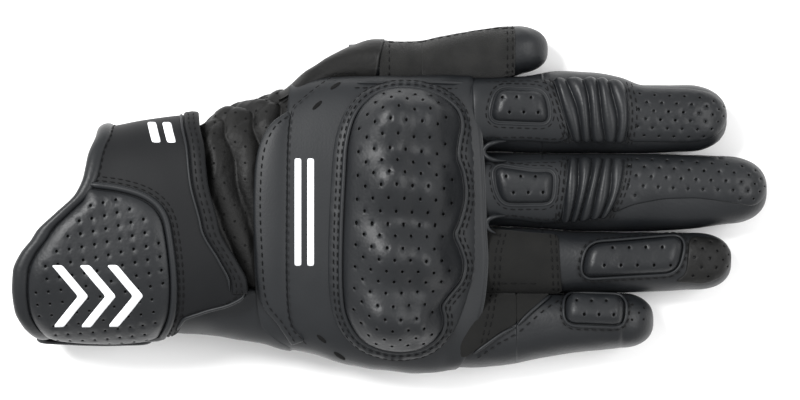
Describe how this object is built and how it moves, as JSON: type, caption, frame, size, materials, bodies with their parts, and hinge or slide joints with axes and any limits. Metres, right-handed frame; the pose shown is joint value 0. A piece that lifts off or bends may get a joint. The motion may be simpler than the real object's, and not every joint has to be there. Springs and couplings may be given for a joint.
{
  "type": "riding gloves",
  "caption": "Right-hand leather riding glove with a padded knuckle guard, bending fingers and thumb, a flared cuff, a cuff flap and a wrist strap.",
  "frame": {"origin": "on the resting surface, under the centre of the glove's bounding box, with the glove lying on its palm", "axes": "+X towards the fingertips, +Y towards the thumb, +Z out of the back of the hand"},
  "size_m": [0.25, 0.1159, 0.0493],
  "materials": {
    "black_leather": "grained black cowhide, semi-matt",
    "soft_leather": "smooth soft black goatskin, low sheen",
    "suede": "black suede, napped and matt",
    "stretch": "black stretch fabric, matt",
    "hook_loop_tape": "black hook and loop tape",
    "lining": "soft knitted lining, matt",
    "foam": "closed-cell foam",
    "hard_shell": "moulded thermoplastic, matt",
    "thread": "bonded black polyester thread",
    "white_print": "white leather applique, semi-matt"
  },
  "bodies": {
    "hand": {"back_panel": "black_leather", "outer_edge_panel": "soft_leather", "palm_panel": "soft_leather", "index_side_panel": "soft_leather", "thenar_panel": "soft_leather", "knuckle_cover": "soft_leather", "knuckle_shell": "hard_shell", "knuckle_foam": "foam", "knuckle_border": "black_leather", "palm_patch": "suede", "heel_pad": "suede", "hand_lining": "lining", "wrist_yoke": "black_leather", "wrist_gusset": "soft_leather", "thumb_gusset": "stretch", "strap_loop_tape": "hook_loop_tape"},
    "cuff": {"cuff_back": "black_leather", "cuff_palm": "soft_leather", "cuff_binding": "black_leather", "cuff_patch": "soft_leather", "cuff_loop_tape": "hook_loop_tape"},
    "cuff_flap": {"cuff_flap": "black_leather", "flap_hook_tape": "hook_loop_tape"},
    "wrist_strap": {"wrist_strap": "black_leather", "strap_hook_tape": "hook_loop_tape"},
    "thumb_root": {"thumb_root_back": "suede", "thumb_root_palm": "soft_leather", "thumb_fold": "soft_leather"},
    "thumb_end": {"thumb_end_back": "soft_leather", "thumb_end_palm": "soft_leather"},
    "index_root": {"index_root_back": "black_leather", "index_root_under": "soft_leather", "index_root_fold": "soft_leather", "index_end_fold": "soft_leather", "index_pleats": "soft_leather", "index_pad": "soft_leather"},
    "index_end": {"index_end_back": "black_leather", "index_end_under": "soft_leather"},
    "middle_root": {"middle_root_back": "black_leather", "middle_root_under": "soft_leather", "middle_root_fold": "soft_leather", "middle_end_fold": "soft_leather", "middle_pleats": "soft_leather", "middle_pad": "soft_leather"},
    "middle_end": {"middle_end_back": "black_leather", "middle_end_under": "soft_leather"},
    "ring_root": {"ring_root_back": "stretch", "ring_root_under": "soft_leather", "ring_root_fold": "soft_leather", "ring_end_fold": "soft_leather"},
    "ring_end": {"ring_end_back": "black_leather", "ring_end_under": "soft_leather", "ring_pad": "soft_leather"},
    "little_root": {"little_root_back": "stretch", "little_root_under": "soft_leather", "little_root_fold": "soft_leather", "little_end_fold": "soft_leather"},
    "little_end": {"little_end_back": "black_leather", "little_end_under": "soft_leather", "little_pad": "soft_leather"}
  },
  "joints": [
    {"name": "wrist_bend", "type": "hinge", "parent": "hand", "child": "cuff", "pos_m": [-0.053, -0.00989, 0.02247], "axis": [0, 1, 0], "range_deg": [-25, 20], "deforming": ["wrist_gusset"]},
    {"name": "cuff_flap_open", "type": "hinge", "parent": "cuff", "child": "cuff_flap", "pos_m": [-0.09464, -0.04821, 0.02067], "axis": [-1, 0, 0], "range_deg": [0, 120]},
    {"name": "wrist_strap_open", "type": "hinge", "parent": "hand", "child": "wrist_strap", "pos_m": [-0.057, 0.00883, 0.00453], "axis": [1, 0, 0], "range_deg": [0, 150]},
    {"name": "thumb_swing", "type": "hinge", "parent": "hand", "child": "thumb_root", "pos_m": [-0.0095, 0.04486, 0.0114], "axis": [0, 0, 1], "range_deg": [0, 35], "deforming": ["thumb_gusset"]},
    {"name": "thumb_bend", "type": "hinge", "parent": "thumb_root", "child": "thumb_end", "pos_m": [0.0223, 0.04899, 0.0114], "axis": [0, 1, 0], "range_deg": [0, 50], "deforming": ["thumb_fold"]},
    {"name": "index_knuckle_bend", "type": "hinge", "parent": "hand", "child": "index_root", "pos_m": [0.028, 0.02896, 0.0123], "axis": [0, 1, 0], "range_deg": [0, 70], "deforming": ["index_root_fold"]},
    {"name": "index_middle_bend", "type": "hinge", "parent": "index_root", "child": "index_end", "pos_m": [0.063, 0.02896, 0.0123], "axis": [0, 1, 0], "range_deg": [0, 80], "deforming": ["index_end_fold", "index_pleats"]},
    {"name": "middle_knuckle_bend", "type": "hinge", "parent": "hand", "child": "middle_root", "pos_m": [0.028, 0.00346, 0.0123], "axis": [0, 1, 0], "range_deg": [0, 70], "deforming": ["middle_root_fold"]},
    {"name": "middle_middle_bend", "type": "hinge", "parent": "middle_root", "child": "middle_end", "pos_m": [0.063, 0.00346, 0.0123], "axis": [0, 1, 0], "range_deg": [0, 80], "deforming": ["middle_end_fold", "middle_pleats"]},
    {"name": "ring_knuckle_bend", "type": "hinge", "parent": "hand", "child": "ring_root", "pos_m": [0.028, -0.01984, 0.0123], "axis": [0, 1, 0], "range_deg": [0, 70], "deforming": ["ring_root_fold"]},
    {"name": "ring_middle_bend", "type": "hinge", "parent": "ring_root", "child": "ring_end", "pos_m": [0.063, -0.01984, 0.0123], "axis": [0, 1, 0], "range_deg": [0, 80], "deforming": ["ring_end_fold"]},
    {"name": "little_knuckle_bend", "type": "hinge", "parent": "hand", "child": "little_root", "pos_m": [0.028, -0.04024, 0.0123], "axis": [0, 1, 0], "range_deg": [0, 70], "deforming": ["little_root_fold"]},
    {"name": "little_middle_bend", "type": "hinge", "parent": "little_root", "child": "little_end", "pos_m": [0.0532, -0.04024, 0.0123], "axis": [0, 1, 0], "range_deg": [0, 80], "deforming": ["little_end_fold"]}
  ]
}
